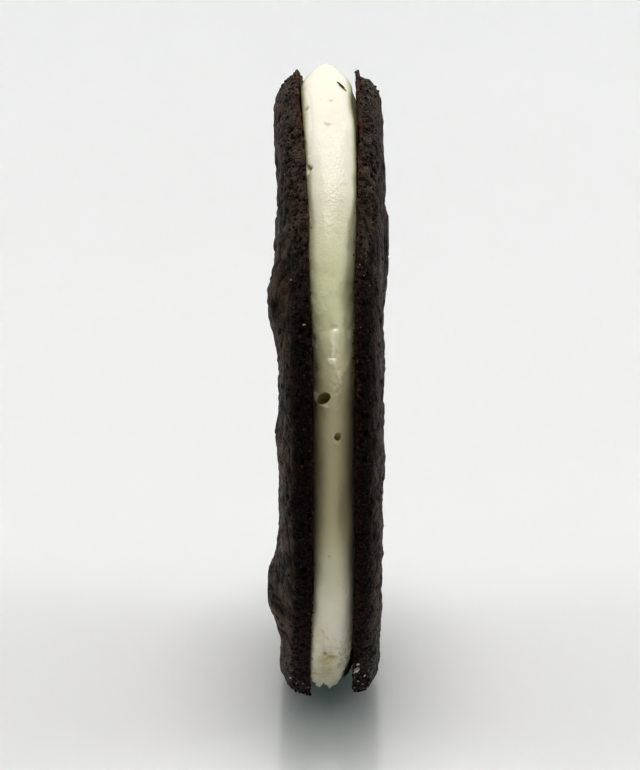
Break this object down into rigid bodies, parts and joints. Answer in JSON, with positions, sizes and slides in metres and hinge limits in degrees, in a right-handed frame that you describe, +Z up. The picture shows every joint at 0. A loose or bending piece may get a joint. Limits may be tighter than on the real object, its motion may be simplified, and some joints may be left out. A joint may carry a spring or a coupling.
{
  "type": "chocolate sandwich cookie",
  "caption": "Round chocolate sandwich cookie standing on its rim: thin dark lumpy cookies, flat sides in, with a thick crowned disc of ivory cream between them.",
  "frame": {"origin": "on the floor, under the middle of the box round the whole cookie", "axes": "+Z up; +X along the cookie's axis, through both cookies and the cream; the discs stand in the YZ plane, and the side shown faces -Y"},
  "size_m": [0.017, 0.0896, 0.0903],
  "materials": {
    "dark_chocolate_cookie": "baked dark cocoa dough: near black-brown, granular rim with rusty crumbs, wrinkled greyer skin on the lumpy side",
    "ivory_cream": "whipped ivory butter cream with a soft sheen, small bubble holes and pits"
  },
  "bodies": {
    "root": {"left_cookie": "dark_chocolate_cookie", "cream_filling": "ivory_cream", "right_cookie": "dark_chocolate_cookie"}
  },
  "joints": []
}
